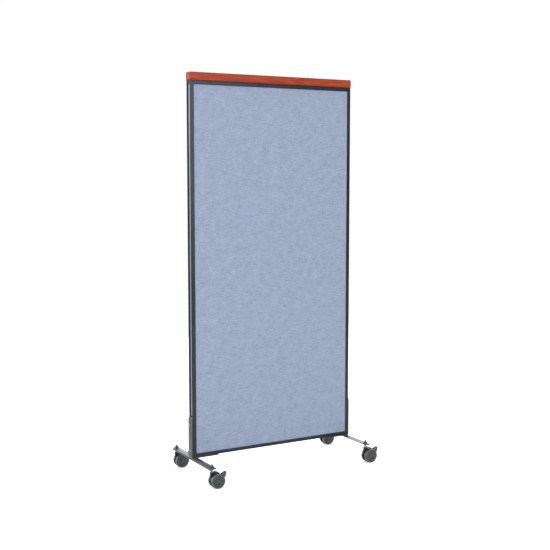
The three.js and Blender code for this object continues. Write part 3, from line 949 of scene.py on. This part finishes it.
def stem_axis(caster):
    low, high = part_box(f"{caster}_stem")
    middle = (low + high) / 2
    return Vector((middle.x, middle.y, 0))


def stem_solid(low, high, collar_low, collar_high):
    """The stud: a pin, a collar with six flats and a helical thread to a pointed end."""
    sides = 36
    solid = bmesh.new()
    rings = []
    for radius, height in (
        (PIN_R - STEM_EASE, low),
        (PIN_R, low + STEM_EASE),
        (PIN_R, collar_low),
        (COLLAR_R - STEM_EASE, collar_low),
        (COLLAR_R, collar_low + STEM_EASE),
        (COLLAR_R, collar_high - STEM_EASE),
        (COLLAR_R - STEM_EASE, collar_high),
        (STEM_R, collar_high),
    ):
        ring = []
        for i in range(sides):
            angle = 2 * math.pi * i / sides
            reach = radius
            if radius > STEM_R:
                off_flat = (angle % (math.pi / 3)) - math.pi / 6
                reach = min(radius, COLLAR_FLAT / math.cos(off_flat))
            ring.append((reach * math.cos(angle), reach * math.sin(angle), height))
        rings.append(ring)
    start, stop = collar_high + 0.2 * MM, high - 0.3 * MM
    steps = int((stop - start) / (THREAD_PITCH / 6))
    for k in range(steps + 1):
        height = start + (stop - start) * k / steps
        point = max(0.0, 1 - (high - height) / POINT_LENGTH) * POINT_DEPTH
        ring = []
        for i in range(sides):
            angle = 2 * math.pi * i / sides
            phase = (height / THREAD_PITCH - i / sides) % 1
            groove = THREAD_DEPTH * abs(2 * phase - 1)
            reach = STEM_R - groove - point
            ring.append((reach * math.cos(angle), reach * math.sin(angle), height))
        rings.append(ring)
    made = [[solid.verts.new(spot) for spot in ring] for ring in rings]
    for lower, upper in zip(made, made[1:]):
        for i in range(sides):
            j = (i + 1) % sides
            solid.faces.new((lower[i], lower[j], upper[j], upper[i]))
    solid.faces.new(list(reversed(made[0])))
    solid.faces.new(made[-1])
    bmesh.ops.recalc_face_normals(solid, faces=solid.faces)
    for f in solid.faces:
        f.material_index = int(f.calc_center_median().z > collar_high + PAINTED_FROM)
    return solid


nut_coat = coated(
    "nut enamel",
    (0.07, 0.07, 0.07),
    (0.10, 0.10, 0.10),
    0.34,
    grain_size=0.002,
    bump=0.08,
    scuff=0.5,
)
for caster in CASTERS:
    axis = stem_axis(caster)
    low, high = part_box(f"{caster}_stem")
    hood_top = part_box(f"{caster}_hood")[1].z
    bar_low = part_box("left_foot_bar")[1].z - BAR_THICK
    work = stem_solid(low.z, high.z, hood_top + COLLAR_GAP, bar_low)
    work.transform(Matrix.Translation(axis))
    stud_coats = [zinc_plate, nut_coat]
    settle(work, f"{caster}_stud", stud_coats, "wall", [f"{caster}_stem"], 40)
    work = welded(f"{caster}_nut")
    ease(work, NUT_EASE, 2, sharper_than=45)
    settle(work, f"{caster}_hex_nut", nut_coat, "wall", [f"{caster}_nut"], 40)

# --- Caster hoods, axles and brake pins ----------------------------------------------
# The hood is black moulded nylon: a web between the wheels, an arch over their treads and
# a boss for the stud. A steel axle and the brake lever's pin go through the web.
nylon = coated(
    "black nylon",
    (0.012, 0.012, 0.014),
    (0.018, 0.018, 0.021),
    0.26,
    grain_size=0.0009,
    bump=0.22,
    scuff=0.4,
    scuff_colour=(0.10, 0.10, 0.10),
)
HOOD_EASE = 0.9 * MM
ROD_EASE = 0.35 * MM
for caster in CASTERS:
    body = f"{caster}_caster"
    work = welded(f"{caster}_hood")
    ease(work, HOOD_EASE, 3, sharper_than=40)
    settle(work, f"{caster}_hood_shell", nylon, body, [f"{caster}_hood"])
    for node in (f"{caster}_axle", f"{caster}_brake_pin"):
        work = welded(node)
        ease(work, ROD_EASE, 2, sharper_than=45)
        settle(work, f"{node}_rod", zinc_plate, body, [node])

# --- Caster wheels -------------------------------------------------------------------
# Each wheel is a dark nylon disc with a grey tread moulded round it. The outer face is
# dished, with curved ribs that swirl from the hub to the rim.
RIBS = 13
RIB_FROM = 5.5 * MM
RIB_TO = 30.7 * MM
RIB_SWIRL = 52  # degrees that a rib turns on its way out
RIB_CURVE = 1.4
RIB_STEPS = 12
RIB_HALF = 0.9  # half a rib's width at the hub, in millimetres
RIB_GROWTH = 1.7  # what that gains on the way out
DISH = 11.6 * MM
RIB_TOP = 16.2 * MM
DISH_SPAN = (4.9 * MM, 30.1 * MM)  # the sunk ring between hub and rim, and its top
DISH_LIMIT = 14.2 * MM
TREAD_FROM = 33.3 * MM
INNER_SHADE_BAND = 3.4 * MM  # painted shade: the disc is black this far out from its inner face, for the shade between the two wheels

disc_nylon = coated(
    "wheel nylon",
    (0.112, 0.115, 0.124),
    (0.142, 0.145, 0.155),
    0.36,
    grain_size=0.0009,
    bump=0.15,
    scuff=0.5,
    scuff_colour=(0.16, 0.16, 0.16),
)
tread_rubber = coated(
    "grey tread",
    (0.105, 0.107, 0.111),
    (0.135, 0.137, 0.142),
    0.30,
    grain_size=0.0016,
    bump=0.3,
    scuff=0.6,
    scuff_colour=(0.26, 0.26, 0.26),
    coat=0.8,
)
tread_rubber.node_tree.nodes["Principled BSDF"].inputs["Coat Roughness"].default_value = 0.12
# The turned section, from the axle's blind hole round the inner face and tread to the hub
# cap: radius and height above the inner face, in millimetres.
wheel_profile = [
    (0.0, 13.3),
    (4.1, 13.3),
    (4.1, 0.5),
    (4.6, 0.0),
    (8.6, 0.0),
    (9.2, 0.6),
    (9.8, 3.0),
    (27.0, 3.0),
    (28.2, 0.8),
    (29.0, 0.0),
    (34.4, 0.0),
    (35.6, 0.35),
    (36.25, 1.1),
    (36.5, 2.4),
    (36.5, 3.4),
    (36.5, 7.4),
    (36.1, 7.8),
    (36.1, 8.7),
    (36.5, 9.1),
    (36.5, 13.6),
    (36.3, 15.0),
    (35.6, 16.0),
    (34.6, 16.45),
    (33.8, 16.5),
    (33.5, 16.1),
    (33.1, 16.1),
    (32.8, 16.5),
    (31.6, 16.5),
    (31.0, 16.2),
    (30.6, 15.3),
    (30.3, 12.2),
    (29.7, 11.6),
    (11.0, 11.6),
    (10.3, 12.2),
    (9.9, 13.4),
    (9.2, 13.9),
    (5.2, 13.9),
    (4.7, 16.0),
    (4.1, 16.5),
    (0.0, 16.5),
]
wheel_work = lathe([(r * MM, h * MM) for r, h in wheel_profile], 72)
# Painted shade: the inner face, the band beside it and the floor of the dish take the hood's
# black nylon, for the shade between the wheels and in the dish.
for f in wheel_work.faces:
    ring = f.calc_center_median()
    radius = math.hypot(ring.x, ring.y)
    shaded_dish_floor = DISH_SPAN[0] < radius < DISH_SPAN[1] and ring.z < DISH_LIMIT
    if ring.z < INNER_SHADE_BAND or shaded_dish_floor:
        f.material_index = 2
    elif radius > TREAD_FROM:
        f.material_index = 1
wheel_disc = bpy.data.meshes.new("wheel disc")
wheel_work.to_mesh(wheel_disc)
wheel_work.free()
wheel_disc.materials.append(disc_nylon)
wheel_disc.materials.append(tread_rubber)
# The third slot, the hood's black nylon, is painted shade on the wheel.
wheel_disc.materials.append(nylon)

# One rib: a low rounded bar, thicker at its foot, that leans across the dish as it goes out.
rib_work = bmesh.new()
rib_rings = []
for k in range(RIB_STEPS + 1):
    t = k / RIB_STEPS
    radius = RIB_FROM + (RIB_TO - RIB_FROM) * t
    angle = math.radians(RIB_SWIRL) * t**RIB_CURVE
    centre = Vector((radius * math.cos(angle), radius * math.sin(angle), 0))
    slope = math.radians(RIB_SWIRL) * RIB_CURVE * max(t, 1e-3) ** (RIB_CURVE - 1)
    slope *= radius / (RIB_TO - RIB_FROM)
    along = Vector((math.cos(angle), math.sin(angle), 0))
    along += slope * Vector((-math.sin(angle), math.cos(angle), 0))
    along.normalize()
    across = Vector((-along.y, along.x, 0))
    half = RIB_HALF + RIB_GROWTH * t
    section = (
        (-half - 0.2, DISH - 0.3 * MM),
        (half + 0.2, DISH - 0.3 * MM),
        (half, RIB_TOP - 0.5 * MM),
        (half - 0.5, RIB_TOP),
        (0.5 - half, RIB_TOP),
        (-half, RIB_TOP - 0.5 * MM),
    )
    rib_rings.append(
        [rib_work.verts.new(centre + across * w * MM + Vector((0, 0, h))) for w, h in section]
    )
for lower, upper in zip(rib_rings, rib_rings[1:]):
    for i in range(6):
        j = (i + 1) % 6
        rib_work.faces.new((lower[i], lower[j], upper[j], upper[i]))
rib_work.faces.new(rib_rings[0])
rib_work.faces.new(list(reversed(rib_rings[-1])))
bmesh.ops.recalc_face_normals(rib_work, faces=rib_work.faces)
rib_mesh = bpy.data.meshes.new("swirl rib")
rib_work.to_mesh(rib_mesh)
rib_work.free()

# The rib is repeated round the hub and joined to the turned disc.
rib_tree, rib_in, rib_out = geometry_tree(
    "swirl of ribs", [("Rib", "NodeSocketObject", None), ("Count", "NodeSocketInt", 20)]
)
rib_line = rib_tree.nodes.new("GeometryNodeMeshLine")
rib_line.inputs["Offset"].default_value = (0, 0, 0)
rib_info = rib_tree.nodes.new("GeometryNodeObjectInfo")
rib_points = rib_tree.nodes.new("GeometryNodeInstanceOnPoints")
rib_index = rib_tree.nodes.new("GeometryNodeInputIndex")
rib_step = new_math(rib_tree, "DIVIDE", 2 * math.pi, rib_in.outputs["Count"])
rib_angle = new_math(rib_tree, "MULTIPLY", rib_index.outputs[0], rib_step)
rib_turn = rib_tree.nodes.new("ShaderNodeCombineXYZ")
rib_tree.links.new(rib_angle, rib_turn.inputs["Z"])
rib_tree.links.new(rib_in.outputs["Count"], rib_line.inputs["Count"])
rib_tree.links.new(rib_in.outputs["Rib"], rib_info.inputs["Object"])
rib_tree.links.new(rib_line.outputs[0], rib_points.inputs["Points"])
rib_tree.links.new(rib_info.outputs["Geometry"], rib_points.inputs["Instance"])
rib_tree.links.new(rib_turn.outputs[0], rib_points.inputs["Rotation"])
finish_tree(rib_tree, rib_points.outputs[0], rib_out, disc_nylon)

rib_object = bpy.data.objects.new("swirl rib", rib_mesh)
scene.collection.objects.link(rib_object)
ribs_mesh = run_tree(
    bpy.data.meshes.new("no base"), rib_tree, {"Rib": rib_object, "Count": RIBS}, "swirl ribs"
)
bpy.data.objects.remove(rib_object)

wheel_base = bmesh.new()
wheel_base.from_mesh(wheel_disc)
wheel_base.from_mesh(ribs_mesh)

for caster in CASTERS:
    axle_low, axle_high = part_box(f"{caster}_axle")
    centre = (axle_low + axle_high) / 2
    for letter, outward in (("a", -1), ("b", 1)):
        node = f"{caster}_wheel_{letter}"
        low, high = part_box(node)
        inner_face = high.y if outward < 0 else low.y
        work = wheel_base.copy()
        work.transform(Matrix.Rotation(math.radians(-90), 4, "X"))
        if outward < 0:
            work.transform(Matrix.Rotation(math.radians(180), 4, "Z"))
        work.transform(Matrix.Translation((centre.x, inner_face, centre.z)))
        settle(
            work,
            f"{caster}_wheel_{letter}_turned",
            [disc_nylon, tread_rubber, nylon],
            f"{caster}_turning_{letter}",
            [node],
            32,
        )
wheel_base.free()

# --- Brake levers --------------------------------------------------------------------
# An olive-grey moulded lever straddles the hood's tail on its pin. A foot presses its
# ridged horn down, and the shoe under it grips both treads.
lever_plastic = coated(
    "olive grey lever",
    (0.088, 0.092, 0.080),
    (0.112, 0.116, 0.100),
    0.42,
    grain_size=0.001,
    bump=0.2,
    scuff=0.6,
    scuff_colour=(0.22, 0.22, 0.2),
)
LEVER_EASE = 0.8 * MM
RIDGE_R = 0.7 * MM
RIDGE_COUNT = 4
RIDGE_START = (8.2 * MM, 6.1 * MM)  # from the pin, out along X and up
RIDGE_STEP = (1.8 * MM, 0, 1.12 * MM)
RIDGE_SHORT = 3.0 * MM  # a ridge is this much shorter than the lever is wide

# Ridges across the lever: a thin rod repeated along a short line, seated in the surface.
ridge_tree, ridge_in, ridge_out = geometry_tree(
    "grip ridges",
    [
        ("Start", "NodeSocketVector", (0, 0, 0)),
        ("Step", "NodeSocketVector", (0, 0, 0)),
        ("Count", "NodeSocketInt", 4),
        ("Width", "NodeSocketFloat", 0.03),
        ("Radius", "NodeSocketFloat", 0.0007),
    ],
)
ridge_line = ridge_tree.nodes.new("GeometryNodeMeshLine")
ridge_rod = ridge_tree.nodes.new("GeometryNodeMeshCylinder")
ridge_rod.inputs["Vertices"].default_value = 12
ridge_lay = ridge_tree.nodes.new("GeometryNodeTransform")
ridge_lay.inputs["Rotation"].default_value = (math.radians(90), 0, 0)
ridge_copies = ridge_tree.nodes.new("GeometryNodeInstanceOnPoints")
ridge_tree.links.new(ridge_in.outputs["Count"], ridge_line.inputs["Count"])
ridge_tree.links.new(ridge_in.outputs["Start"], ridge_line.inputs["Start Location"])
ridge_tree.links.new(ridge_in.outputs["Step"], ridge_line.inputs["Offset"])
ridge_tree.links.new(ridge_in.outputs["Width"], ridge_rod.inputs["Depth"])
ridge_tree.links.new(ridge_in.outputs["Radius"], ridge_rod.inputs["Radius"])
ridge_tree.links.new(ridge_rod.outputs["Mesh"], ridge_lay.inputs["Geometry"])
ridge_tree.links.new(ridge_line.outputs[0], ridge_copies.inputs["Points"])
ridge_tree.links.new(ridge_lay.outputs[0], ridge_copies.inputs["Instance"])
finish_tree(ridge_tree, ridge_copies.outputs[0], ridge_out, lever_plastic)

for caster in CASTERS:
    node = f"{caster}_brake_lever"
    low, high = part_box(node)
    pin_low, pin_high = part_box(f"{caster}_brake_pin")
    pivot = (pin_low + pin_high) / 2
    start = Vector((pivot.x + RIDGE_START[0], pivot.y, pivot.z + RIDGE_START[1]))
    ridges = run_tree(
        bpy.data.meshes.new("no base"),
        ridge_tree,
        {
            "Start": start,
            "Step": Vector(RIDGE_STEP),
            "Count": RIDGE_COUNT,
            "Width": high.y - low.y - RIDGE_SHORT,
            "Radius": RIDGE_R,
        },
        "grip ridges",
    )
    work = welded(node)
    ease(work, LEVER_EASE, 3, sharper_than=40)
    work.from_mesh(ridges)
    settle(
        work, f"{caster}_lever_horn", lever_plastic, f"{caster}_brake", [node]
    )
